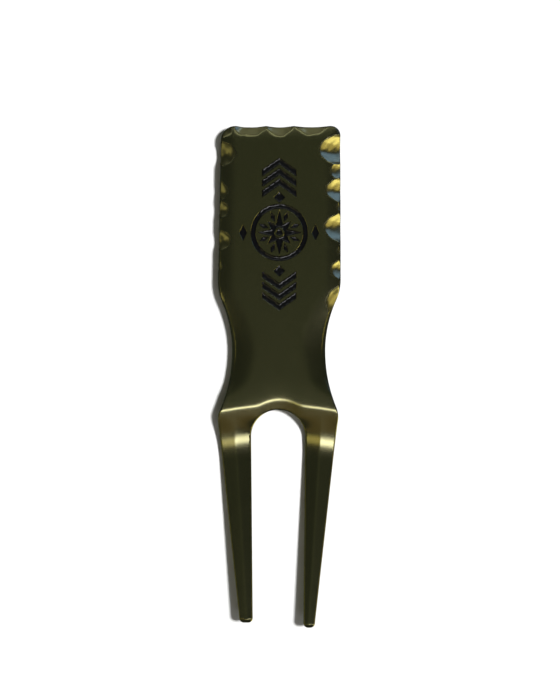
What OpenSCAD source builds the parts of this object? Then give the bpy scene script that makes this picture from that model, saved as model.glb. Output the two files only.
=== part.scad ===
// Two-pronged divot repair tool, lying on its back.
// +Z is up, out of the decorated face. +Y runs from the prong tips to the head.
// The origin is under the middle of the tool, on the plane it lies on.
// It is one metal forging, and every engraved mark holds its own piece of enamel.

/* [Head] */
// Length from the head's top edge to the tip of the longer prong
tool_len = 80; // [76:1:88]
// Thickness of the head plate
head_t = 4; // [3.4:0.1:4.4]
// Half width of the head
head_half = 9.8; // [9.4:0.05:10.4]
// How much the left side leans in towards the top edge
left_taper = 0.45; // [0:0.05:0.6]
// Radius of the top right corner
right_corner_r = 1.5; // [1:0.1:2.5]
// Radius of the top left corner
left_corner_r = 2.3; // [1:0.1:2.6]
// How deep the top edge is hollowed where it is ground
top_dip = 0.2; // [0:0.05:0.3]

/* [Waist] */
// Half width at the narrowest point
waist_half = 7.45; // [7:0.05:8]
// Distance of the narrowest point from the middle of the tool, towards the head
waist_y = 4; // [3.5:0.1:5]
// Radius of the waist on the head's side
waist_r_head = 20; // [14:1:22]
// Radius that rounds the head off into the waist
head_corner_r = 8; // [4:0.5:10]
// Radius of the waist on the fork's side
waist_r_fork = 24; // [20:1:30]
// Half width of the shoulders, where the prongs begin
shoulder_half = 9.6; // [9:0.1:9.7]
// Radius of the shoulders
shoulder_r = 4; // [2:0.5:5]
// Width of the soft bevel along each side of the waist
waist_bevel = 1.5; // [0.8:0.1:1.8]

/* [Fork] */
// How far the fork sits to the left of the head's middle line
fork_shift = 0.2; // [0:0.05:0.3]
// How much shorter the left prong is
left_shorter = 0.8; // [0:0.1:1.5]
// Half width of the gap at its round end
gap_half = 4.35; // [4:0.05:4.8]
// Half width of the gap between the tips
gap_tip_half = 4.05; // [3.9:0.05:4.3]
// Where the straight sides of the gap begin, measured from the middle of the tool
gap_y = -9.7; // [-10:0.05:-8.5]
// Distance from the middle line to the outside of the right prong's tip
right_tip_half = 5.85; // [5.8:0.05:6.6]
// Distance from the middle line to the outside of the left prong's tip
left_tip_half = 6.15; // [6:0.05:6.8]
// Thickness of a prong at its root
root_t = 2; // [1.9:0.1:2.6]
// Thickness of a prong at its tip
tip_t = 1.7; // [1.2:0.1:1.8]
// Angle at which the prongs rise towards their tips
rise = 6; // [4:0.5:8]
// Angle of the step down from the head to the prongs
step_angle = 21; // [17:1:24]
// Where the step begins at the edges, measured from the middle of the tool
step_y = -5.6; // [-6:0.1:-5]
// Slope of each prong's inner facet, down from the ridge to the gap
inner_facet = 10; // [4:1:12]
// Slope of each prong's outer facet, down from the ridge to the side
outer_facet = 6; // [1:1:8]

/* [Ground edge] */
// Angle of the ground scallops below the face
scallop_angle = 38; // [30:1:50]

/* [Decoration] */
// Depth of the engraving
engrave_depth = 0.3; // [0.2:0.05:0.6]
// How far the enamel stays below the face
enamel_sunk = 0.06; // [0:0.01:0.1]
// Outer radius of the ring
ring_r = 4.5; // [4.3:0.1:4.8]
// Line width of the ring
ring_w = 0.65; // [0.4:0.05:0.8]
// Length of the star's long points
star_long = 3.5; // [3:0.1:3.6]
// Length of the petals between the star's points
petal_len = 1.5; // [1:0.1:1.6]
// Width of each chevron
chevron_w = 5.4; // [4.5:0.1:6]
// Line width of the chevrons, measured along the tool
chevron_line = 0.95; // [0.7:0.05:1]

/* [Hidden] */
NODES = ["tool_body",
    "enamel_ring", "enamel_star", "enamel_hub",
    "enamel_petal_1", "enamel_petal_2", "enamel_petal_3", "enamel_petal_4",
    "enamel_petal_5", "enamel_petal_6", "enamel_petal_7", "enamel_petal_8",
    "enamel_left_lozenge", "enamel_right_lozenge",
    "enamel_upper_lozenge", "enamel_upper_chevron_1", "enamel_upper_chevron_2", "enamel_upper_chevron_3",
    "enamel_lower_lozenge", "enamel_lower_chevron_1", "enamel_lower_chevron_2", "enamel_lower_chevron_3"];
$fn = 64;
eps = 0.01;
far = 60;                                   // reaches past the tool in every direction

top_y = tool_len / 2;
right_taper = 0.05;                         // how much the right side leans in towards the top edge
right_tip_y = -tool_len / 2;
left_tip_y = right_tip_y + left_shorter;
tip_corner_r = 0.7;
tip_bevel = 0.9;                            // length of the bevel on top of each tip
tip_bevel_drop = 0.15;                      // how far below the ridge the bevel begins
tip_bevel_angle = 40;
side_lean = 6.5;                            // the prongs' outer sides lean in by this angle
ridge_y = -8.5;                             // the ridges are placed by their positions here and at the tips
ridge_share_root = 0.5;                     // and run at this share of the prong's width from the gap
ridge_share_tip = 0.4;

facet_drop = ridge_share_root * (shoulder_half - gap_half) * tan(inner_facet);   // from a ridge to the gap
root_y = step_y - (head_t - root_t + facet_drop) / tan(step_angle);   // where the step meets the prongs
root_blend_r = 8;                           // concave blend between the step and the prongs
heel_y = root_y + 0.6;                      // where the underside begins to rise
tip_z = root_t + (root_y + tool_len / 2) * tan(rise);    // top of a prong at the longer tip

bow_depth = 0.95;                           // the top of the step bows this far towards the head
scoop_depth = 0.9;                          // and this much more above the gap
bow_r = shoulder_half ^ 2 / (2 * bow_depth * sin(step_angle));
scoop_r = 15;
waist_bevel_y = waist_y + 1.2;              // middle of the soft bevels beside the waist
waist_bevel_r = 20;
waist_bevel_angle = 25;

motif_y = 22.9;                             // centre of the ring and star
hub_r = 0.45;
star_hole_r = 0.85;
star_valley = 1.3;                          // radius of the notches between the star's points
star_short = 2.5;                           // length of the star's short points
petal_x = 2.7;                              // distance of the petals from the centre
petal_w = 0.62;
side_lozenge = [1.1, 2.4];                  // width and height of the lozenges beside the ring
lozenge_x = 5.75;
end_lozenge = [1.7, 1.7];                   // width and height of the lozenges above and below the ring
upper_y = 28.6;                             // foot of the upper chevrons
lower_y = 16.7;                             // foot of the lower chevrons, which are upside down
lozenge_gap = 0.1;                          // between those feet and the middles of the lozenges
chevron_rise = 1.9;
chevron_pitch = 1.65;

// Scallops ground into the rim of the head: [x, y] on the rim, the direction out of the head
// in degrees, depth in from the rim on the face, and the radius of the wheel that cut it.
scallops = [
    [[9.5, 36.1], 0, 3.1, 2.5],
    [[9.6, 32.8], 0, 1.6, 1.8],
    [[9.6, 29.7], 0, 2.2, 2.2],
    [[9.7, 27.1], 0, 0.8, 1.8],
    [[9.7, 23.7], 0, 2.5, 2.7],
    [[9.8, 20.0], 0, 0.8, 1.8],
    [[9.8, 17.0], 0, 1.7, 2.0],
    [[9.0, 12.5], -27, 1.4, 5.0],
    [[-9.3, 35.5], 180, 2.2, 2.2],
    [[-9.5, 29.6], 180, 1.4, 2.0],
    [[-9.6, 26.6], 180, 1.6, 1.6],
    [[-9.7, 21.7], 180, 2.0, 1.7],
    [[-9.8, 17.6], 180, 0.9, 2.2],
    [[-9.2, 12.9], 205, 0.6, 4.0],
    [[-4.6, 40.0], 80, 1.7, 4.0],
    [[0.06, 40.0], 90, 1.8, 3.3],
    [[5.1, 40.0], 90, 1.6, 5.4],
    [[-5.9, 40.0], 60, 1.7, 1.4],
    [[-8.5, 39.0], 135, 0.8, 2.4]];

// Hollows in the top edge: [middle, half width]
top_hollows = [[-4.55, 2.4], [0.06, 2.2], [5.1, 2.8]];

// Points along an arc, both ends included
function arc(centre, r, from, to, steps) =
    [for (i = [0:steps]) let (a = from + (to - from) * i / steps) centre + r * [cos(a), sin(a)]];

// Points along a curve that leaves p towards q and arrives at s
function bend(p, q, s, steps) =
    [for (i = [0:steps]) let (t = i / steps) (1 - t) ^ 2 * p + 2 * t * (1 - t) * q + t ^ 2 * s];

function flip(points) = [for (i = [len(points) - 1:-1:0]) [-points[i].x, points[i].y]];

// One side of the outline, from the top edge down to the round end of the gap.
// shift moves everything below the waist outwards.
function side_points(top_half, corner_r, shift, tip_half, tip_y) =
    let (waist_head = [waist_half + shift / 2 + waist_r_head, waist_y],
         waist_fork = [waist_half + shift / 2 + waist_r_fork, waist_y],
         corner_x = head_half - head_corner_r,
         shoulder_x = shoulder_half + shift - shoulder_r,
         corner_rise = sqrt((waist_r_head + head_corner_r) ^ 2 - (waist_head.x - corner_x) ^ 2),
         shoulder_fall = sqrt((waist_r_fork + shoulder_r) ^ 2 - (waist_fork.x - shoulder_x) ^ 2),
         a_head = atan2(corner_rise, waist_head.x - corner_x),
         a_fork = atan2(shoulder_fall, waist_fork.x - shoulder_x),
         outer_x = tip_half + shift - tip_corner_r,
         inner_x = gap_tip_half + shift + tip_corner_r)
    concat(
        arc([top_half - corner_r, top_y - corner_r], corner_r, 90, 0, 6),
        arc([corner_x, waist_y + corner_rise], head_corner_r, 0, -a_head, 5),
        arc(waist_head, waist_r_head, 180 - a_head, 180, 8),
        arc(waist_fork, waist_r_fork, 180, 180 + a_fork, 8),
        arc([shoulder_x, waist_y - shoulder_fall], shoulder_r, a_fork, -side_lean, 5),
        arc([outer_x, tip_y + tip_corner_r], tip_corner_r, -side_lean, -90, 5),
        arc([inner_x, tip_y + tip_corner_r], tip_corner_r, -90, -180, 5));

module outline() {
    polygon(concat(
        side_points(head_half - right_taper, right_corner_r, -fork_shift, right_tip_half, right_tip_y),
        arc([-fork_shift, gap_y], gap_half, 0, 180, 20),
        flip(side_points(head_half - left_taper, left_corner_r, fork_shift, left_tip_half, left_tip_y)),
        [for (dip = top_hollows) each bend([dip.x - dip.y, top_y], [dip.x, top_y - 2 * top_dip],
                                           [dip.x + dip.y, top_y], 6)]));
}

// Height of the underside at y, in side view
function under_z(y) = (tip_z - tip_t) * max(0, heel_y - y) / (heel_y - right_tip_y);

// Height of the ridge line at y, in side view
function ridge_z(y) = tip_z - (y - right_tip_y) * tan(rise);

// A solid with the tool's outline, and with the side view given as [y, z] points
module in_side_view(points) {
    intersection() {
        linear_extrude(far) outline();
        rotate([90, 0, 90])
            translate([0, 0, -far / 2])
                linear_extrude(far) polygon(points);
    }
}

// The concave blend between the step and the prongs
module root() {
    reach = root_blend_r * tan((step_angle + rise) / 2);
    low = [root_y - reach * cos(rise), root_t - facet_drop + reach * sin(rise)];
    high = [root_y + reach * cos(step_angle), root_t - facet_drop + reach * sin(step_angle)];
    in_side_view(concat(
        [[step_y, 0], [heel_y, 0], [low.x, under_z(low.x)]],
        bend(low, [root_y, root_t - facet_drop], high, 6),
        [[step_y, high.y]]));
}

// Everything above one facet of a prong's ridge. turn is 1 for the facet towards +X, -1 towards -X.
module facet_cut(side, tip_half, turn) {
    shift = -side * fork_shift;
    root_x = gap_half + ridge_share_root * (shoulder_half - gap_half) + shift;
    tip_x = gap_tip_half + ridge_share_tip * (tip_half - gap_tip_half) + shift;
    translate([side * tip_x, right_tip_y, tip_z])
        rotate([0, 0, atan2(ridge_y - right_tip_y, side * (root_x - tip_x))])
            rotate([0, rise, 0])
                rotate([turn * (turn == side ? outer_facet : inner_facet), 0, 0])
                    translate([-far, -far, 0])
                        cube([2 * far, 2 * far, far]);
}

// Everything above the bevel that rounds off a tip
module tip_cut(side, tip_y) {
    translate([side * far / 2, tip_y + tip_bevel, ridge_z(tip_y + tip_bevel) - tip_bevel_drop])
        rotate([-tip_bevel_angle, 0, 0])
            translate([-far, -far, 0])
                cube([2 * far, far, far]);
}

// side is 1 for the right prong and -1 for the left
module prong(side, tip_y, tip_half) {
    end_y = right_tip_y - 1;
    difference() {
        intersection() {
            in_side_view([[step_y, 0], [heel_y, 0], [end_y, under_z(end_y)],
                          [end_y, ridge_z(end_y)], [step_y, ridge_z(step_y)]]);
            translate([side * far / 2, 0, 0]) cube([far - 2 * eps, 2 * far, far], center = true);
        }
        for (turn = [-1, 1]) facet_cut(side, tip_half, turn);
        tip_cut(side, tip_y);
    }
}

// The step is cut by drums that lie along its slope, so that its top edge bows towards the head
module step_cut(y, r) {
    translate([0, y, head_t])
        rotate([-90 + step_angle, 0, 0])
            translate([0, -r, 0])
                cylinder(h = 3 * far, r = r, center = true, $fn = 128);
}

// A wheel of radius r that runs out over the rim and downwards
module wheel_cut(rim, direction, depth, r, angle) {
    translate([rim.x, rim.y, head_t])
        rotate([0, 0, direction])
            translate([-depth, 0, 0])
                rotate([0, 90 + angle, 0])
                    translate([-r, 0, 0])
                        cylinder(h = 4 * depth + 2 * r, r = r, center = true);
}

module head() {
    difference() {
        in_side_view([[heel_y, 0], [top_y + 1, 0], [top_y + 1, head_t], [heel_y, head_t]]);
        step_cut(step_y + bow_depth, bow_r);
        step_cut(step_y + bow_depth + scoop_depth, scoop_r);
        for (s = scallops) wheel_cut(s[0], s[1], s[2], s[3], scallop_angle);
        for (side = [-1, 1])
            wheel_cut([side * waist_half, waist_bevel_y], 90 - side * 90, waist_bevel, waist_bevel_r,
                      waist_bevel_angle);
    }
}

module tool_body() {
    color("darkolivegreen")
        difference() {
            union() {
                head();
                root();
                prong(1, right_tip_y, right_tip_half);
                prong(-1, left_tip_y, left_tip_half);
            }
            translate([0, 0, head_t - engrave_depth])
                for (m = [1:len(NODES) - 1]) linear_extrude(1) mark(NODES[m]);
        }
}

module lozenge(size) {
    polygon([[size.x / 2, 0], [0, size.y / 2], [-size.x / 2, 0], [0, -size.y / 2]]);
}

module chevron(number, direction, foot) {
    y = foot + direction * (number - 1) * chevron_pitch;
    translate([0, y])
        polygon([for (p = [[chevron_w / 2, 0], [chevron_w / 2, chevron_line],
                           [0, chevron_rise + chevron_line], [-chevron_w / 2, chevron_line],
                           [-chevron_w / 2, 0], [0, chevron_rise]])
                 [p.x, direction * p.y]]);
}

module star() {
    radii = [star_long, star_valley, star_short, star_valley];
    difference() {
        polygon([for (i = [0:15]) radii[i % 4] * [cos(i * 22.5), sin(i * 22.5)]]);
        circle(r = star_hole_r);
    }
}

// Outline of one engraved mark, seen from above
module mark(name) {
    if (name == "enamel_ring") translate([0, motif_y]) difference() {
        circle(r = ring_r);
        circle(r = ring_r - ring_w);
    }
    if (name == "enamel_star") translate([0, motif_y]) star();
    if (name == "enamel_hub") translate([0, motif_y]) circle(r = hub_r);
    for (number = [1:8])
        if (name == str("enamel_petal_", number))
            translate([0, motif_y])
                rotate([0, 0, 45 * number - 22.5])
                    translate([petal_x, 0])
                        lozenge([petal_len, petal_w]);
    if (name == "enamel_left_lozenge") translate([-lozenge_x, motif_y]) lozenge(side_lozenge);
    if (name == "enamel_right_lozenge") translate([lozenge_x, motif_y]) lozenge(side_lozenge);
    if (name == "enamel_upper_lozenge") translate([0, upper_y - lozenge_gap]) lozenge(end_lozenge);
    if (name == "enamel_lower_lozenge") translate([0, lower_y + lozenge_gap]) lozenge(end_lozenge);
    for (number = [1:3]) {
        if (name == str("enamel_upper_chevron_", number)) chevron(number, 1, upper_y);
        if (name == str("enamel_lower_chevron_", number)) chevron(number, -1, lower_y);
    }
}

module enamel(name) {
    color("black")
        translate([0, 0, head_t - engrave_depth])
            linear_extrude(engrave_depth - enamel_sunk) mark(name);
}

tool_body();
for (m = [1:len(NODES) - 1]) enamel(NODES[m]);
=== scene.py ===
"""The looks of the divot repair tool: a smooth body, enamel in its marks, materials, floor and light.

Sizes are in millimetres until a mesh is built. The tool lies on its back, face up, head towards +Y.
"""

import math
from itertools import product

import bpy
import numpy as np
from mathutils import Matrix, Vector, geometry


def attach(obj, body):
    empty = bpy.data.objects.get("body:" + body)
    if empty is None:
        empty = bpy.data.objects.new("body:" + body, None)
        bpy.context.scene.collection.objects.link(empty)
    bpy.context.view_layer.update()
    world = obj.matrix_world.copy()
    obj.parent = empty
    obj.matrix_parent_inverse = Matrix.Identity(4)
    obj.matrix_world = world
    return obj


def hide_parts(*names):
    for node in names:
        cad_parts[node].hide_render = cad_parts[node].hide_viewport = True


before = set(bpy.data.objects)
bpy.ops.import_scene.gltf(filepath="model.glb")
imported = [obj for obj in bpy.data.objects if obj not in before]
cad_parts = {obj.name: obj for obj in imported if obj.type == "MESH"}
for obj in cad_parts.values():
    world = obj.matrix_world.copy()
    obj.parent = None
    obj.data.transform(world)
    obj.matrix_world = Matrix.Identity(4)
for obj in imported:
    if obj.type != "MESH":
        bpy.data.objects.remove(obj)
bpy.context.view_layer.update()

MM = 0.001

# ---------------------------------------------------------------- plan of the tool, as in the exact solid

HEAD_T = 4.0
HEAD_HALF = 9.8
LEFT_TAPER = 0.45
RIGHT_TAPER = 0.05
RIGHT_CORNER_R = 1.5
LEFT_CORNER_R = 2.3
TOP_DIP = 0.2
TOP_HOLLOWS = [(-4.55, 2.4), (0.06, 2.2), (5.1, 2.8)]  # middle and half width of each
WAIST_HALF = 7.45
WAIST_Y = 4.0
WAIST_R_HEAD = 20.0
HEAD_CORNER_R = 8.0
WAIST_R_FORK = 24.0
SHOULDER_HALF = 9.6
SHOULDER_R = 4.0
FORK_SHIFT = 0.2
GAP_HALF = 4.35
GAP_TIP_HALF = 4.05
GAP_Y = -9.7
TIP_CORNER_R = 0.7
SIDE_LEAN = 6.5
RIGHT_TIP_Y = -40.0
LEFT_TIP_Y = -39.2
RIGHT_TIP_HALF = 5.85
LEFT_TIP_HALF = 6.15
TOP_Y = 40.0


def arc(centre, r, start, end, steps):
    """Points along an arc, both ends included. Angles in degrees."""
    a = np.radians(np.linspace(start, end, steps + 1))
    return np.stack([centre[0] + r * np.cos(a), centre[1] + r * np.sin(a)], 1)


def bend(p, q, s, steps):
    """Points along a curve that leaves p towards q and arrives at s."""
    t = np.linspace(0, 1, steps + 1)[:, None]
    return (1 - t) ** 2 * np.array(p) + 2 * t * (1 - t) * np.array(q) + t**2 * np.array(s)


def side_points(top_half, corner_r, shift, tip_half, tip_y):
    """One side's outline, from the top edge down to the gap. shift moves all below the waist outwards."""
    head_x = WAIST_HALF + shift / 2 + WAIST_R_HEAD
    fork_x = WAIST_HALF + shift / 2 + WAIST_R_FORK
    corner_x = HEAD_HALF - HEAD_CORNER_R
    shoulder_x = SHOULDER_HALF + shift - SHOULDER_R
    rise = math.sqrt((WAIST_R_HEAD + HEAD_CORNER_R) ** 2 - (head_x - corner_x) ** 2)
    fall = math.sqrt((WAIST_R_FORK + SHOULDER_R) ** 2 - (fork_x - shoulder_x) ** 2)
    a_head = math.degrees(math.atan2(rise, head_x - corner_x))
    a_fork = math.degrees(math.atan2(fall, fork_x - shoulder_x))
    outer_x = tip_half + shift - TIP_CORNER_R
    inner_x = GAP_TIP_HALF + shift + TIP_CORNER_R
    return np.concatenate([
        arc((top_half - corner_r, TOP_Y - corner_r), corner_r, 90, 0, 12),
        arc((corner_x, WAIST_Y + rise), HEAD_CORNER_R, 0, -a_head, 16)[:-1],
        arc((head_x, WAIST_Y), WAIST_R_HEAD, 180 - a_head, 180, 24)[:-1],
        arc((fork_x, WAIST_Y), WAIST_R_FORK, 180, 180 + a_fork, 24)[:-1],
        arc((shoulder_x, WAIST_Y - fall), SHOULDER_R, a_fork, -SIDE_LEAN, 12),
        arc((outer_x, tip_y + TIP_CORNER_R), TIP_CORNER_R, -SIDE_LEAN, -90, 10),
        arc((inner_x, tip_y + TIP_CORNER_R), TIP_CORNER_R, -90, -180, 10),
    ])


def outline_points():
    """The whole outline, clockwise from the top right corner."""
    right = side_points(HEAD_HALF - RIGHT_TAPER, RIGHT_CORNER_R, -FORK_SHIFT, RIGHT_TIP_HALF, RIGHT_TIP_Y)
    left = side_points(HEAD_HALF - LEFT_TAPER, LEFT_CORNER_R, FORK_SHIFT, LEFT_TIP_HALF, LEFT_TIP_Y)
    gap = arc((-FORK_SHIFT, GAP_Y), GAP_HALF, 0, 180, 48)
    hollows = [bend((x - half, TOP_Y), (x, TOP_Y - 2 * TOP_DIP), (x + half, TOP_Y), 12)
               for x, half in TOP_HOLLOWS]
    return np.concatenate([right, gap, left[::-1] * np.array([-1, 1])] + hollows)


def polygon_distance(x, y, points):
    """Signed distance from each (x, y) to a closed outline, negative inside."""
    best = np.full(x.shape, np.inf)
    inside = np.zeros(x.shape, bool)
    for (ax, ay), (bx, by) in zip(points, np.roll(points, -1, 0)):
        ex, ey = bx - ax, by - ay
        t = np.clip(((x - ax) * ex + (y - ay) * ey) / (ex * ex + ey * ey + 1e-12), 0, 1)
        best = np.minimum(best, (x - ax - t * ex) ** 2 + (y - ay - t * ey) ** 2)
        if ay != by:
            inside ^= ((ay > y) != (by > y)) & (x < ax + ex * (y - ay) / ey)
    return np.where(inside, -1, 1) * np.sqrt(best)


# ---------------------------------------------------------------- height of the metal

STEP_Y = -5.6
STEP_SLOPE = math.tan(math.radians(21))
ROLL_SLOPE_EDGE = math.tan(math.radians(1.2))  # the face rolls down to this slope at the crease's ends
ROLL_SLOPE_MIDDLE = math.tan(math.radians(3.2))  # and to this one in the middle
ROLL_MIDDLE = 4.5
ROLL_LEN = 4.0
CREASE_R = 0.36
BOW_DEPTH = 0.95
SCOOP_DEPTH = 0.9
SCOOP_SPREAD = 10.75
SCOOP_BLEND = 0.3
RISE_SLOPE = math.tan(math.radians(6))
INNER_SLOPE = math.tan(math.radians(10))
OUTER_SLOPE = math.tan(math.radians(6))
RIDGE_R = 0.12
FACETS_Y = -6.2  # where the facets begin
FACETS_FADE = 3.0  # and the distance over which they reach their full slope
ROOT_Y = -10.9
ROOT_T = 1.85
ROOT_BLEND = 1.2
HEEL_Y = -10.4
TIP_T = 1.75
TIP_Z = ROOT_T + (ROOT_Y - RIGHT_TIP_Y) * RISE_SLOPE
PRONG_DROP = 0.15  # the ridges lie this far below the line that rises to TIP_Z
PRONG_LEAN = 0.005  # slope of both prongs down towards +X
NOSE_SLOPE = 0.7  # slope of the rounded end of each prong
NOSE_LEN = 0.6
RIGHT_RIDGE = ((6.7, -8.5), (4.6, RIGHT_TIP_Y))
LEFT_RIDGE = ((-7.1, -8.5), (-5.1, RIGHT_TIP_Y))


def soft_max(a, b, k):
    """The higher of a and b, with the corner between them softened over about k."""
    return 0.5 * (a + b + np.sqrt((a - b) ** 2 + k * k))


def blend_max(a, b, k):
    """The higher of a and b, with a round hollow between them and neither changed beyond it."""
    return np.maximum(a, b) + np.clip(k - np.abs(a - b), 0, None) ** 2 / (4 * k)


def smooth(t):
    """An even change from 0 to 1 as t goes from 0 to 1."""
    t = np.clip(t, 0, 1)
    return t * t * (3 - 2 * t)


def round_max(a, b, r):
    """The part inside both a and b, with the edge between them rounded to radius r."""
    return np.minimum(-r, np.maximum(a, b)) + np.hypot(np.maximum(a + r, 0), np.maximum(b + r, 0))


def crease_y(x):
    """Where the step down to the fork begins. It bows towards the head, most of all above the gap."""
    bow = STEP_Y + BOW_DEPTH * (1 - (x / SHOULDER_HALF) ** 2)
    scoop = STEP_Y + BOW_DEPTH + SCOOP_DEPTH - x**2 / SCOOP_SPREAD
    return soft_max(bow, scoop, SCOOP_BLEND)


def ridge_drop(x, y):
    """How far the two facets of a prong's ridge lie below it."""
    right_of = []
    for (x0, y0), (x1, y1) in (RIGHT_RIDGE, LEFT_RIDGE):
        run = math.hypot(x1 - x0, y1 - y0)
        right_of.append(((x - x1) * (y0 - y1) - (y - y1) * (x0 - x1)) / run)
    outwards = np.where(x > 0, right_of[0], -right_of[1])
    slope = np.where(outwards > 0, OUTER_SLOPE, INNER_SLOPE)
    return slope * (np.sqrt(outwards**2 + RIDGE_R**2) - RIDGE_R)


def top_height(x, y):
    """Height of the top: the face, its roll towards the crease, the step, the prongs and their noses."""
    below = crease_y(x) - y
    roll_on_face = np.clip(below + ROLL_LEN, 0, None) ** 2 / (2 * ROLL_LEN)
    roll = np.where(below > 0, below + ROLL_LEN / 2, roll_on_face)
    crease = 0.5 * (below + np.sqrt(below**2 + CREASE_R**2))
    roll_slope = ROLL_SLOPE_EDGE + (ROLL_SLOPE_MIDDLE - ROLL_SLOPE_EDGE) * np.exp(-((x / ROLL_MIDDLE) ** 2))
    step = HEAD_T - roll_slope * roll - (STEP_SLOPE - roll_slope) * crease
    prong = TIP_Z - (y - RIGHT_TIP_Y) * RISE_SLOPE - PRONG_LEAN * x - PRONG_DROP
    nose = NOSE_SLOPE * np.clip(np.where(x > 0, RIGHT_TIP_Y, LEFT_TIP_Y) + NOSE_LEN - y, 0, None)
    facets = smooth((FACETS_Y - y) / FACETS_FADE) * ridge_drop(x, y)
    return blend_max(step, prong, ROOT_BLEND) - facets - nose


def under_height(y):
    return (TIP_Z - TIP_T) * np.clip(HEEL_Y - y, 0, None) / (HEEL_Y - RIGHT_TIP_Y)


# (x, y) on the rim, the direction out of the head in degrees, depth in from the rim, and wheel radius
SCALLOPS = [
    ((9.5, 36.1), 0, 3.1, 2.5),
    ((9.6, 32.8), 0, 1.6, 1.8),
    ((9.6, 29.7), 0, 2.2, 2.2),
    ((9.7, 27.1), 0, 0.8, 1.8),
    ((9.7, 23.7), 0, 2.5, 2.7),
    ((9.8, 20.0), 0, 0.8, 1.8),
    ((9.8, 17.0), 0, 1.7, 2.0),
    ((9.0, 12.5), -27, 1.4, 5.0),
    ((-9.3, 35.5), 180, 2.2, 2.2),
    ((-9.5, 29.6), 180, 1.4, 2.0),
    ((-9.6, 26.6), 180, 1.6, 1.6),
    ((-9.7, 21.7), 180, 2.0, 1.7),
    ((-9.8, 17.6), 180, 0.9, 2.2),
    ((-9.2, 12.9), 205, 0.6, 4.0),
    ((-4.6, 40.0), 80, 1.7, 4.0),
    ((0.06, 40.0), 90, 1.8, 3.3),
    ((5.1, 40.0), 90, 1.6, 5.4),
    ((-5.9, 40.0), 60, 1.7, 1.4),
    ((-8.5, 39.0), 135, 0.8, 2.4),
]
SCALLOP_ANGLE = math.radians(38)
SCALLOP_EDGE_R = 0.2
CRISP_EDGE_R = 0.1  # for the cuts beyond CRISP_X, down the right side
CRISP_X = 7
GRIND_WOBBLE = 0.045
EDGE_R = 0.25
WAIST_BEVEL = 1.4
WAIST_BEVEL_Y = 5.0
WAIST_BEVEL_SPREAD = 6.0
WAIST_BEVEL_ANGLE = math.radians(24)
WAIST_BEVEL_R = 1.2
WAIST_BEVEL_FADE = 0.1  # how fast the bevel runs out towards the fork


def grind_wobble(x, y, z):
    """Unevenness of the ground cuts. The wave numbers, in radians per mm, are unrelated to each other."""
    return GRIND_WOBBLE * (np.sin(2.3 * x + 1.9 * z) * np.sin(2.7 * y + 0.8 * x)
                           + 0.4 * np.sin(3.1 * x - 1.3 * y + 0.5) * np.sin(2.1 * y + 2.9 * z))


def wheel_distance(x, y, z, wheel):
    """Signed distance to one grinding wheel: a cylinder that runs out over the rim and downwards."""
    rim, direction, depth, r = wheel
    a, b = math.radians(direction), SCALLOP_ANGLE
    out = (x - rim[0]) * math.cos(a) + (y - rim[1]) * math.sin(a) + depth
    along = -(x - rim[0]) * math.sin(a) + (y - rim[1]) * math.cos(a)
    across = out * math.sin(b) + (z - HEAD_T) * math.cos(b)
    return np.hypot(along, across - r) - r + grind_wobble(x, y, z)


def metal(x, y, z, d, top, under):
    """The metal's field, negative inside. d is the plan distance, top and under the heights, at (x, y)."""
    f = round_max(d, z - top, EDGE_R)
    waist = WAIST_BEVEL * np.exp(-(((y - WAIST_BEVEL_Y) / WAIST_BEVEL_SPREAD) ** 2))
    bevel = (z - HEAD_T) * math.cos(WAIST_BEVEL_ANGLE) + (d + waist) * math.sin(WAIST_BEVEL_ANGLE)
    bevel = bevel - WAIST_BEVEL_FADE * np.clip(-y, 0, None) ** 2
    f = round_max(f, bevel, WAIST_BEVEL_R)
    for wheel in SCALLOPS:
        edge_r = CRISP_EDGE_R if wheel[0][0] > CRISP_X else SCALLOP_EDGE_R
        f = round_max(f, -wheel_distance(x, y, z, wheel), edge_r)
    return round_max(f, under - z, EDGE_R)


# ---------------------------------------------------------------- meshing

PLAN_HALF = (10.5, 40.8)
PLAN_STEP = 0.05
GRID_LOW = (-10.2, -40.5, -0.45)
GRID_HIGH = (10.2, 40.5, 5.9)
GRID_STEP = 0.18
SNAP_ROUNDS = 4
SNAP_LIMIT = 0.1
LEAST_SLOPE_SQUARED = 0.2


def surface_net(field, low, step):
    """Vertices and quads of the field's zero surface on a grid."""
    inside = field < 0
    cells = tuple(n - 1 for n in field.shape)
    corners = list(product((0, 1), repeat=3))

    def corner(values, c):
        return values[c[0]:c[0] + cells[0], c[1]:c[1] + cells[1], c[2]:c[2] + cells[2]]

    count = sum(corner(inside, c).astype(np.int8) for c in corners)
    mixed = (count > 0) & (count < 8)
    index = np.full(cells, -1)
    index[mixed] = np.arange(mixed.sum())
    where = np.argwhere(mixed)
    total = np.zeros((len(where), 3))
    hits = np.zeros(len(where))
    for a, b in product(corners, corners):
        if sum(b) - sum(a) != 1 or sum(abs(p - q) for p, q in zip(a, b)) != 1:
            continue
        fa, fb = corner(field, a)[mixed], corner(field, b)[mixed]
        hit = (fa < 0) != (fb < 0)
        t = fa[hit] / (fa[hit] - fb[hit])
        total[hit] += np.array(a) + t[:, None] * (np.array(b) - np.array(a))
        hits[hit] += 1
    verts = low + step * (where + total / hits[:, None])
    quads = []
    for axis in range(3):
        u, v = [i for i in range(3) if i != axis]
        ahead = [slice(None)] * 3
        ahead[axis] = slice(1, None)
        behind = [slice(None)] * 3
        behind[axis] = slice(None, -1)
        first, second = inside[tuple(behind)], inside[tuple(ahead)]
        for leaving in (True, False):
            edge = np.argwhere((first & ~second) if leaving else (~first & second))
            ring = []
            for du, dv in ((-1, -1), (0, -1), (0, 0), (-1, 0)):
                cell = edge.copy()
                cell[:, u] += du
                cell[:, v] += dv
                ring.append(index[tuple(cell.T)])
            quad = np.stack(ring, 1)
            quads.append(quad if leaving == (axis != 1) else quad[:, ::-1])
    return verts, np.concatenate(quads)


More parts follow.
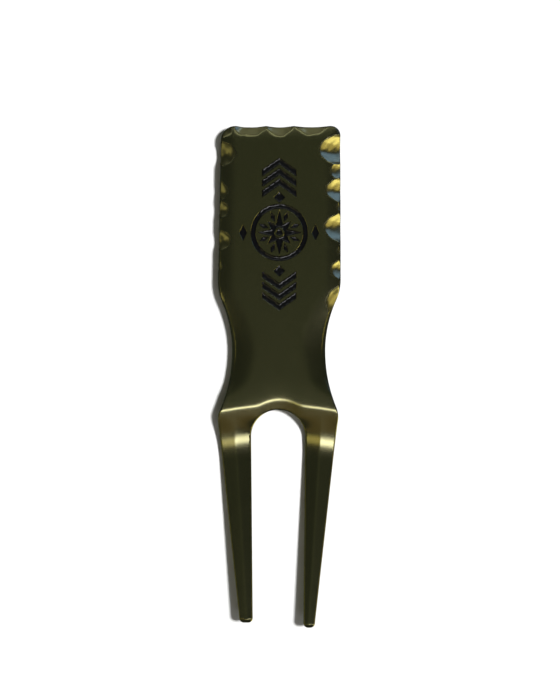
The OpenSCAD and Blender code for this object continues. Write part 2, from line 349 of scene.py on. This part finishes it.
class Plan:
    """Plan distance looked up from a fine grid, so that it can be asked for at any point."""

    def __init__(self):
        xs = np.arange(-PLAN_HALF[0], PLAN_HALF[0], PLAN_STEP)
        ys = np.arange(-PLAN_HALF[1], PLAN_HALF[1], PLAN_STEP)
        gx, gy = np.meshgrid(xs, ys, indexing="ij")
        self.values = polygon_distance(gx, gy, outline_points())

    def __call__(self, x, y):
        u = (x + PLAN_HALF[0]) / PLAN_STEP
        v = (y + PLAN_HALF[1]) / PLAN_STEP
        i = np.clip(u.astype(int), 0, self.values.shape[0] - 2)
        j = np.clip(v.astype(int), 0, self.values.shape[1] - 2)
        fu, fv = u - i, v - j
        g = self.values
        return ((g[i, j] * (1 - fu) + g[i + 1, j] * fu) * (1 - fv)
                + (g[i, j + 1] * (1 - fu) + g[i + 1, j + 1] * fu) * fv)


plan = Plan()


def metal_at(p):
    x, y, z = p.T
    return metal(x, y, z, plan(x, y), top_height(x, y), under_height(y))


def slope_at(p, h=0.03):
    """Gradient of the metal's field at each point, from differences over h to each side."""
    return np.stack([(metal_at(p + h * e) - metal_at(p - h * e)) / (2 * h) for e in np.eye(3)], 1)


def make_mesh(name, verts, faces):
    mesh = bpy.data.meshes.new(name)
    mesh.from_pydata((np.asarray(verts) * MM).tolist(), [], [list(map(int, f)) for f in faces])
    mesh.validate()
    mesh.update()
    obj = bpy.data.objects.new(name, mesh)
    bpy.context.scene.collection.objects.link(obj)
    return obj


def body_mesh():
    """The metal's surface on a grid, with its points then moved onto the true surface."""
    axes = [np.arange(low, high, GRID_STEP) for low, high in zip(GRID_LOW, GRID_HIGH)]
    gx, gy = np.meshgrid(axes[0], axes[1], indexing="ij")
    d, top, under = plan(gx.ravel(), gy.ravel()).reshape(gx.shape), top_height(gx, gy), under_height(gy)
    field = np.stack([metal(gx, gy, z, d, top, under) for z in axes[2]], 2)
    verts, quads = surface_net(field, np.array(GRID_LOW), GRID_STEP)
    for _ in range(SNAP_ROUNDS):
        slope = slope_at(verts)
        size = np.maximum((slope**2).sum(1), LEAST_SLOPE_SQUARED)
        verts = verts - np.clip(metal_at(verts) / size, -SNAP_LIMIT, SNAP_LIMIT)[:, None] * slope
    return make_mesh("tool_body_metal", verts, quads)


# ---------------------------------------------------------------- engraved marks

MOTIF_Y = 22.9
RING_R = 4.5
RING_W = 0.65
HUB_R = 0.45
STAR_HOLE_R = 0.85
STAR_LONG = 3.5
STAR_SHORT = 2.5
STAR_VALLEY = 1.3
PETAL_X = 2.7
PETAL_LEN = 1.5
PETAL_W = 0.62
SIDE_LOZENGE = (1.1, 2.4)
LOZENGE_X = 5.75
END_LOZENGE = (1.7, 1.7)
UPPER_Y = 28.6  # foot of the upper chevrons
LOWER_Y = 16.7  # foot of the lower chevrons, which are upside down
LOZENGE_GAP = 0.1  # between those feet and the middles of the lozenges
CHEVRON_W = 5.4
CHEVRON_LINE = 0.95
CHEVRON_RISE = 1.9
CHEVRON_PITCH = 1.65
ENGRAVE_DEPTH = 0.3
RIM_BEVEL = 0.09
MITRE_LIMIT = 0.35  # keeps a sharp corner from growing without end
MARKED_HALF = (6.7, 13)  # half width and half height of the engraved area, round the motif's centre


def circle(centre, r, steps):
    return arc(centre, r, 0, 360, steps)[:-1]


def lozenge(centre, size):
    w, h = size
    return np.array(centre) + np.array([[w / 2, 0], [0, h / 2], [-w / 2, 0], [0, -h / 2]])


def chevron(number, direction, foot):
    """One of a row of chevrons that starts at the foot. direction is 1 upwards and -1 downwards."""
    base = np.array([[CHEVRON_W / 2, 0], [CHEVRON_W / 2, CHEVRON_LINE], [0, CHEVRON_RISE + CHEVRON_LINE],
                     [-CHEVRON_W / 2, CHEVRON_LINE], [-CHEVRON_W / 2, 0], [0, CHEVRON_RISE]])
    place = np.array([0, foot + direction * (number - 1) * CHEVRON_PITCH])
    points = base * np.array([1, direction]) + place
    return points if direction > 0 else points[::-1]


def star(centre):
    radii = np.array([STAR_LONG, STAR_VALLEY, STAR_SHORT, STAR_VALLEY] * 4)
    a = np.radians(np.arange(16) * 22.5)
    return np.array(centre) + np.stack([radii * np.cos(a), radii * np.sin(a)], 1)


MARKS = {
    "enamel_ring": [circle((0, MOTIF_Y), RING_R, 120), circle((0, MOTIF_Y), RING_R - RING_W, 120)[::-1]],
    "enamel_star": [star((0, MOTIF_Y)), circle((0, MOTIF_Y), STAR_HOLE_R, 36)[::-1]],
    "enamel_hub": [circle((0, MOTIF_Y), HUB_R, 24)],
    "enamel_left_lozenge": [lozenge((-LOZENGE_X, MOTIF_Y), SIDE_LOZENGE)],
    "enamel_right_lozenge": [lozenge((LOZENGE_X, MOTIF_Y), SIDE_LOZENGE)],
    "enamel_upper_lozenge": [lozenge((0, UPPER_Y - LOZENGE_GAP), END_LOZENGE)],
    "enamel_lower_lozenge": [lozenge((0, LOWER_Y + LOZENGE_GAP), END_LOZENGE)],
}
for number in range(1, 9):
    turn = np.radians(45 * number - 22.5)
    turned = np.array([[np.cos(turn), np.sin(turn)], [-np.sin(turn), np.cos(turn)]])
    petal = lozenge((PETAL_X, 0), (PETAL_LEN, PETAL_W)) @ turned + np.array([0, MOTIF_Y])
    MARKS[f"enamel_petal_{number}"] = [petal]
for number in (1, 2, 3):
    MARKS[f"enamel_upper_chevron_{number}"] = [chevron(number, 1, UPPER_Y)]
    MARKS[f"enamel_lower_chevron_{number}"] = [chevron(number, -1, LOWER_Y)]


def grown(loop, amount):
    """The loop moved outwards, corners kept sharp. Outer loops run anticlockwise and holes clockwise."""
    back = loop - np.roll(loop, 1, 0)
    ahead = np.roll(loop, -1, 0) - loop
    n1 = np.stack([back[:, 1], -back[:, 0]], 1) / np.linalg.norm(back, axis=1)[:, None]
    n2 = np.stack([ahead[:, 1], -ahead[:, 0]], 1) / np.linalg.norm(ahead, axis=1)[:, None]
    middle = n1 + n2
    middle /= np.linalg.norm(middle, axis=1)[:, None]
    return loop + amount * middle / np.maximum((middle * n1).sum(1), MITRE_LIMIT)[:, None]


def divided(loop, spacing):
    """The loop with its sides cut into lengths of about the spacing."""
    points = []
    for a, b in zip(loop, np.roll(loop, -1, 0)):
        n = max(1, round(float(np.linalg.norm(b - a)) / spacing))
        points += [a + (b - a) * i / n for i in range(n)]
    return np.array(points)


def loops_distance(x, y, loops):
    """Signed distance to a region bounded by an outer loop and any holes, negative inside."""
    d = [polygon_distance(x, y, loop) for loop in loops]
    return np.maximum.reduce([d[0]] + [-hole for hole in d[1:]])


def fill(loops, extra):
    """Triangles that fill the loops, through their points and the extra points."""
    points = np.concatenate(list(loops) + [extra])
    edges, start = [], 0
    for loop in loops:
        n = len(loop)
        edges += [(start + i, start + (i + 1) % n) for i in range(n)]
        start += n
    found = geometry.delaunay_2d_cdt([Vector(p) for p in points], edges, [], 0, 1e-7)
    verts = np.array([tuple(v) for v in found[0]])
    faces = np.array([f for f in found[2] if len(f) == 3])
    middle = verts[faces].mean(1)
    keep = loops_distance(middle[:, 0], middle[:, 1], loops) < 0
    return verts, faces[keep]


def prism(layers, rise, spacing):
    """A closed solid from matching loops at several heights. rise lifts the top by a function of (x, y)."""
    loops = layers[-1][1]
    inner = np.zeros((0, 2))
    if spacing:
        low, high = loops[0].min(0), loops[0].max(0)
        gx, gy = np.meshgrid(np.arange(low[0], high[0], spacing), np.arange(low[1], high[1], spacing))
        clearance = 0.6 * spacing
        deep = loops_distance(gx.ravel(), gy.ravel(), loops) < -clearance
        inner = np.stack([gx.ravel(), gy.ravel()], 1)[deep]
    top_points, top_faces = fill(loops, inner)
    bottom_points, bottom_faces = fill(layers[0][1], np.zeros((0, 2)))
    verts = [np.c_[bottom_points, np.full(len(bottom_points), layers[0][0])]]
    base = [0]
    for z, middle_loops in layers[1:-1]:
        base.append(sum(len(v) for v in verts))
        flat = np.concatenate(middle_loops)
        verts.append(np.c_[flat, np.full(len(flat), z)])
    base.append(sum(len(v) for v in verts))
    verts.append(np.c_[top_points, layers[-1][0] + rise(top_points[:, 0], top_points[:, 1])])
    faces = [f[::-1] for f in bottom_faces] + [f + base[-1] for f in top_faces]
    start = 0
    for loop in loops:
        n = len(loop)
        for lower, upper in zip(base, base[1:]):
            for i in range(n):
                a, b = start + i, start + (i + 1) % n
                faces.append([lower + a, lower + b, upper + b, upper + a])
        start += n
    return np.concatenate(verts), faces


def engrave(body):
    """Cuts the marks' pockets into the body, each with a small bevel round its rim."""
    verts, faces = [], []
    for loops in MARKS.values():
        flared = [grown(loop, 2 * RIM_BEVEL) for loop in loops]
        layers = [(HEAD_T - ENGRAVE_DEPTH, loops), (HEAD_T - RIM_BEVEL, loops),
                  (HEAD_T + RIM_BEVEL, flared)]
        v, f = prism(layers, lambda x, y: 0 * x, 0)
        faces += [np.asarray(face) + sum(len(w) for w in verts) for face in f]
        verts.append(v)
    cutter = make_mesh("cutter", np.concatenate(verts), faces)
    cut = body.modifiers.new("engrave", "BOOLEAN")
    cut.operation = "DIFFERENCE"
    cut.object = cutter
    cut.solver = "EXACT"
    graph = bpy.context.evaluated_depsgraph_get()
    mesh = bpy.data.meshes.new_from_object(body.evaluated_get(graph))
    body.modifiers.clear()
    body.data = mesh
    bpy.data.objects.remove(cutter)


def set_normals(body):
    """True surface normals everywhere but at the flat engraved marks, which keep their crisp edges."""
    mesh = body.data
    count = len(mesh.vertices)
    co = np.zeros(count * 3, np.float32)
    mesh.vertices.foreach_get("co", co)
    p = co.reshape(-1, 3).astype(float) / MM
    slope = slope_at(p, 0.02)
    slope /= np.linalg.norm(slope, axis=1)[:, None]
    loops = np.zeros(len(mesh.loops), np.int32)
    mesh.loops.foreach_get("vertex_index", loops)
    normals = slope[loops]
    face_normals = np.zeros(len(mesh.polygons) * 3, np.float32)
    mesh.polygons.foreach_get("normal", face_normals)
    totals = np.zeros(len(mesh.polygons), np.int32)
    mesh.polygons.foreach_get("loop_total", totals)
    of_face = np.repeat(face_normals.reshape(-1, 3), totals, 0)
    x, y, z = p[loops].T
    marked = (np.abs(x) < MARKED_HALF[0]) & (np.abs(y - MOTIF_Y) < MARKED_HALF[1]) & (z > HEAD_T / 2)
    normals[marked] = of_face[marked]
    mesh.polygons.foreach_set("use_smooth", np.ones(len(mesh.polygons), bool))
    mesh.normals_split_custom_set(normals.tolist())


body = body_mesh()
engrave(body)
set_normals(body)

# ---------------------------------------------------------------- enamel

ENAMEL_TOP = HEAD_T - 0.045
ENAMEL_MIDDLE = HEAD_T - 0.2
ENAMEL_DIP = 0.1
ENAMEL_CLING = 0.16  # distance from a wall over which the enamel dips
ENAMEL_RIPPLE = 0.007
WALL_SPACING = 0.09
TOP_SPACING = 0.1
SHARP_ANGLE = math.radians(50)


def enamel_piece(name, loops):
    """Enamel that has drawn down a little in the middle of its pocket and clings to the walls."""
    fine = [divided(loop, WALL_SPACING) for loop in loops]

    def surface(x, y):
        dip = ENAMEL_DIP * (1 - np.exp(loops_distance(x, y, loops) / ENAMEL_CLING))
        ripple = (np.sin(6.1 * x + 2.3 * y) + np.sin(4.7 * y - 3.9 * x + 1.3)
                  + np.sin(9.3 * y + 1.9 * x + 0.4))
        return -dip + ENAMEL_RIPPLE * ripple

    layers = [(HEAD_T - ENGRAVE_DEPTH, fine), (ENAMEL_MIDDLE, fine), (ENAMEL_TOP, fine)]
    verts, faces = prism(layers, surface, TOP_SPACING)
    piece = make_mesh(name + "_fill", verts, faces)
    piece.data.polygons.foreach_set("use_smooth", np.ones(len(piece.data.polygons), bool))
    piece.data.set_sharp_from_angle(angle=SHARP_ANGLE)
    return piece


fills = {name: enamel_piece(name, loops) for name, loops in MARKS.items()}

# ---------------------------------------------------------------- materials

PLATE_DARK = (0.40, 0.38, 0.20)
PLATE_LIGHT = (0.41, 0.39, 0.21)
GROUND_GOLD = (0.56, 0.51, 0.26)
PLATE_ROUGHNESS = (0.205, 0.225)
GROUND_EXTRA_ROUGHNESS = 0.09
ENAMEL_DARK = (0.0012, 0.0012, 0.0016)
ENAMEL_LIGHT = (0.003, 0.003, 0.0036)
PAPER_DARK = (0.59, 0.59, 0.59)
PAPER_LIGHT = (0.61, 0.61, 0.61)
GROUND_FADE = 0.12  # the ground look fades over this distance from a wheel's surface
GROUND_PEAK = 1.3  # above 1, so that the whole cut is fully ground
NOISE_RANGE = (0.3, 0.7)  # a noise texture lies mostly between these


def new_material(name):
    material = bpy.data.materials.new(name)
    material.use_nodes = True
    return material, material.node_tree, material.node_tree.nodes["Principled BSDF"]


def noise(tree, scale, detail, roughness=0.5):
    coordinates = tree.nodes.new("ShaderNodeTexCoord")
    texture = tree.nodes.new("ShaderNodeTexNoise")
    texture.inputs["Scale"].default_value = scale
    texture.inputs["Detail"].default_value = detail
    texture.inputs["Roughness"].default_value = roughness
    tree.links.new(coordinates.outputs["Object"], texture.inputs["Vector"])
    return texture.outputs["Fac"]


def spread(tree, value, low, high):
    """A noise value spread out to run from low to high."""
    node = tree.nodes.new("ShaderNodeMapRange")
    node.inputs["From Min"].default_value = NOISE_RANGE[0]
    node.inputs["From Max"].default_value = NOISE_RANGE[1]
    node.inputs["To Min"].default_value = low
    node.inputs["To Max"].default_value = high
    tree.links.new(value, node.inputs["Value"])
    return node.outputs["Result"]


def mix_colour(tree, factor, a, b):
    node = tree.nodes.new("ShaderNodeMix")
    node.data_type = "RGBA"
    node.inputs["A"].default_value = (*a, 1)
    node.inputs["B"].default_value = (*b, 1)
    tree.links.new(factor, node.inputs["Factor"])
    return node.outputs["Result"]


def bump(tree, height, strength, distance):
    node = tree.nodes.new("ShaderNodeBump")
    node.inputs["Strength"].default_value = strength
    node.inputs["Distance"].default_value = distance
    tree.links.new(height, node.inputs["Height"])
    return node.outputs["Normal"]


def metal_material():
    """Dark olive-bronze plate, satin, a little cloudy, more golden where a wheel has ground it."""
    material, tree, shader = new_material("bronzed_metal")
    ground = tree.nodes.new("ShaderNodeAttribute")
    ground.attribute_name = "ground"
    cloud = spread(tree, noise(tree, scale=90, detail=2), 0, 1)
    plate = mix_colour(tree, cloud, PLATE_DARK, PLATE_LIGHT)
    bright = tree.nodes.new("ShaderNodeMix")
    bright.data_type = "RGBA"
    tree.links.new(ground.outputs["Fac"], bright.inputs["Factor"])
    tree.links.new(plate, bright.inputs["A"])
    bright.inputs["B"].default_value = (*GROUND_GOLD, 1)
    tree.links.new(bright.outputs["Result"], shader.inputs["Base Color"])
    shader.inputs["Metallic"].default_value = 1.0
    satin = spread(tree, noise(tree, scale=400, detail=4, roughness=0.6), *PLATE_ROUGHNESS)
    finish = tree.nodes.new("ShaderNodeMath")
    finish.operation = "MULTIPLY_ADD"
    tree.links.new(ground.outputs["Fac"], finish.inputs[0])
    finish.inputs[1].default_value = GROUND_EXTRA_ROUGHNESS
    tree.links.new(satin, finish.inputs[2])
    tree.links.new(finish.outputs["Value"], shader.inputs["Roughness"])
    grain = bump(tree, noise(tree, scale=3000, detail=3, roughness=0.6), strength=0.02, distance=0.00001)
    tree.links.new(grain, shader.inputs["Normal"])
    return material


def enamel_material():
    material, tree, shader = new_material("black_enamel")
    tone = mix_colour(tree, noise(tree, scale=1200, detail=3), ENAMEL_DARK, ENAMEL_LIGHT)
    tree.links.new(tone, shader.inputs["Base Color"])
    shader.inputs["Roughness"].default_value = 0.12
    shader.inputs["IOR"].default_value = 1.5
    ripple = bump(tree, noise(tree, scale=2600, detail=2), strength=0.12, distance=0.00003)
    tree.links.new(ripple, shader.inputs["Normal"])
    return material


def floor_material():
    material, tree, shader = new_material("paper_floor")
    tone = mix_colour(tree, noise(tree, scale=300, detail=3), PAPER_DARK, PAPER_LIGHT)
    tree.links.new(tone, shader.inputs["Base Color"])
    shader.inputs["Roughness"].default_value = 0.9
    return material


def mark_ground(body):
    """Stores, on each point of the body, how much of it a grinding wheel has cut."""
    mesh = body.data
    co = np.zeros(len(mesh.vertices) * 3, np.float32)
    mesh.vertices.foreach_get("co", co)
    x, y, z = (co.reshape(-1, 3).astype(float) / MM).T
    nearest = np.min([np.abs(wheel_distance(x, y, z, wheel)) for wheel in SCALLOPS], 0)
    share = np.clip(GROUND_PEAK - nearest / GROUND_FADE, 0, 1)
    attribute = mesh.attributes.new("ground", "FLOAT", "POINT")
    attribute.data.foreach_set("value", share.astype(np.float32))


mark_ground(body)
body.data.materials.clear()
body.data.materials.append(metal_material())
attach(body, "root")
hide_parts("tool_body")

black = enamel_material()
for name, piece in fills.items():
    piece.data.materials.append(black)
    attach(piece, "root")
    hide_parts(name)

# ---------------------------------------------------------------- floor, light and camera, in metres

FLOOR_HALF = 0.9
FLOOR_LINES = 8
FLOOR_Z = -0.00002
PANEL_DISTANCE = 0.6
WASH_DISTANCE = 1.5
DIM_ROOM = (0.86, 1.0, 0.85)
DIM_STRENGTH = 0.03
CAMERA_LENS = 100
CAMERA_PLACE = (0.0001, 0.0042, 0.3135)


def make_floor():
    n = FLOOR_LINES
    line = np.linspace(-FLOOR_HALF, FLOOR_HALF, n)
    verts = [(x, y, 0.0) for y in line for x in line]
    faces = [(j * n + i, j * n + i + 1, (j + 1) * n + i + 1, (j + 1) * n + i)
             for j in range(n - 1) for i in range(n - 1)]
    mesh = bpy.data.meshes.new("floor")
    mesh.from_pydata(verts, [], faces)
    floor = bpy.data.objects.new("floor", mesh)
    floor.location.z = FLOOR_Z
    bpy.context.scene.collection.objects.link(floor)
    floor.data.materials.append(floor_material())
    floor.visible_glossy = False
    floor.visible_shadow = False


def panel(name, towards, size, energy, colour, roll=0, distance=PANEL_DISTANCE, for_floor=False):
    """A soft light panel that faces the tool.

    towards is how far it leans from straight up, in degrees along X and Y. A panel for the floor isn't
    mirrored in the metal.
    """
    lean = Vector((math.radians(towards[0]), math.radians(towards[1])))
    away = Vector((*(lean.normalized() * math.sin(lean.length)), math.cos(lean.length)))
    up = Vector((0, 0, 1)) if lean.length > math.radians(50) else Vector((0, 1, 0))
    side = up.cross(away).normalized()
    light = bpy.data.lights.new(name, "AREA")
    light.shape = "RECTANGLE"
    light.size, light.size_y = size
    light.energy = energy
    light.color = colour
    obj = bpy.data.objects.new(name, light)
    facing = Matrix((side, away.cross(side), away)).transposed()
    obj.matrix_world = (facing @ Matrix.Rotation(math.radians(roll), 3, "Z")).to_4x4()
    obj.location = away * distance
    obj.visible_glossy = not for_floor
    bpy.context.scene.collection.objects.link(obj)


make_floor()
panel("floor_wash", (20, 3), (0.17, 0.17), 40.0, (1.0, 1.0, 1.0), distance=WASH_DISTANCE, for_floor=True)
panel("overhead", (0, 6), (0.26, 0.5), 0.0104, (0.89, 1.0, 0.62))
panel("key", (10.5, -25.5), (0.31, 0.12), 0.47, (0.99, 0.98, 1.0))
panel("key_left", (-17, -25.5), (0.25, 0.12), 0.075, (1.0, 0.86, 0.34))
panel("front_warm", (-4, -50), (0.45, 0.2), 0.03, (1.0, 0.68, 0.22))
panel("right_warm", (76, -69), (0.5, 0.25), 0.87, (1.0, 0.91, 0.42), roll=34)
panel("right_amber", (80, -20), (0.26, 0.25), 0.16, (1.0, 0.85, 0.33), roll=34)
panel("right_cool", (71, 64), (0.56, 0.2), 0.3, (0.23, 0.42, 1.0), roll=-38)
panel("left_warm", (-87, -41), (0.94, 0.25), 0.24, (1.0, 0.92, 0.4), roll=-34)
panel("head_end", (0, 86), (0.7, 0.6), 0.2, (0.95, 1.0, 0.9))
panel("rim", (0, 40), (0.6, 0.12), 0.15, (0.95, 1.0, 0.9))
panel("glint", (42, 73), (0.1, 0.12), 0.06, (0.48, 0.63, 1.0))


def make_world():
    """A dim room round the tool, with a plain pale backdrop where the camera looks past the floor."""
    world = bpy.data.worlds.new("room")
    world.use_nodes = True
    tree = world.node_tree
    dim = tree.nodes["Background"]
    dim.inputs["Color"].default_value = (*DIM_ROOM, 1)
    dim.inputs["Strength"].default_value = DIM_STRENGTH
    backdrop = tree.nodes.new("ShaderNodeBackground")
    seen = tree.nodes.new("ShaderNodeLightPath")
    either = tree.nodes.new("ShaderNodeMixShader")
    tree.links.new(seen.outputs["Is Camera Ray"], either.inputs["Fac"])
    tree.links.new(dim.outputs["Background"], either.inputs[1])
    tree.links.new(backdrop.outputs["Background"], either.inputs[2])
    tree.links.new(either.outputs["Shader"], tree.nodes["World Output"].inputs["Surface"])
    return world


def make_camera():
    data = bpy.data.cameras.new("camera")
    data.lens = CAMERA_LENS
    camera = bpy.data.objects.new("camera", data)
    camera.location = CAMERA_PLACE
    bpy.context.scene.collection.objects.link(camera)
    return camera


scene = bpy.context.scene
scene.world = make_world()
scene.view_settings.view_transform = "Standard"
scene.view_settings.look = "None"
scene.camera = make_camera()
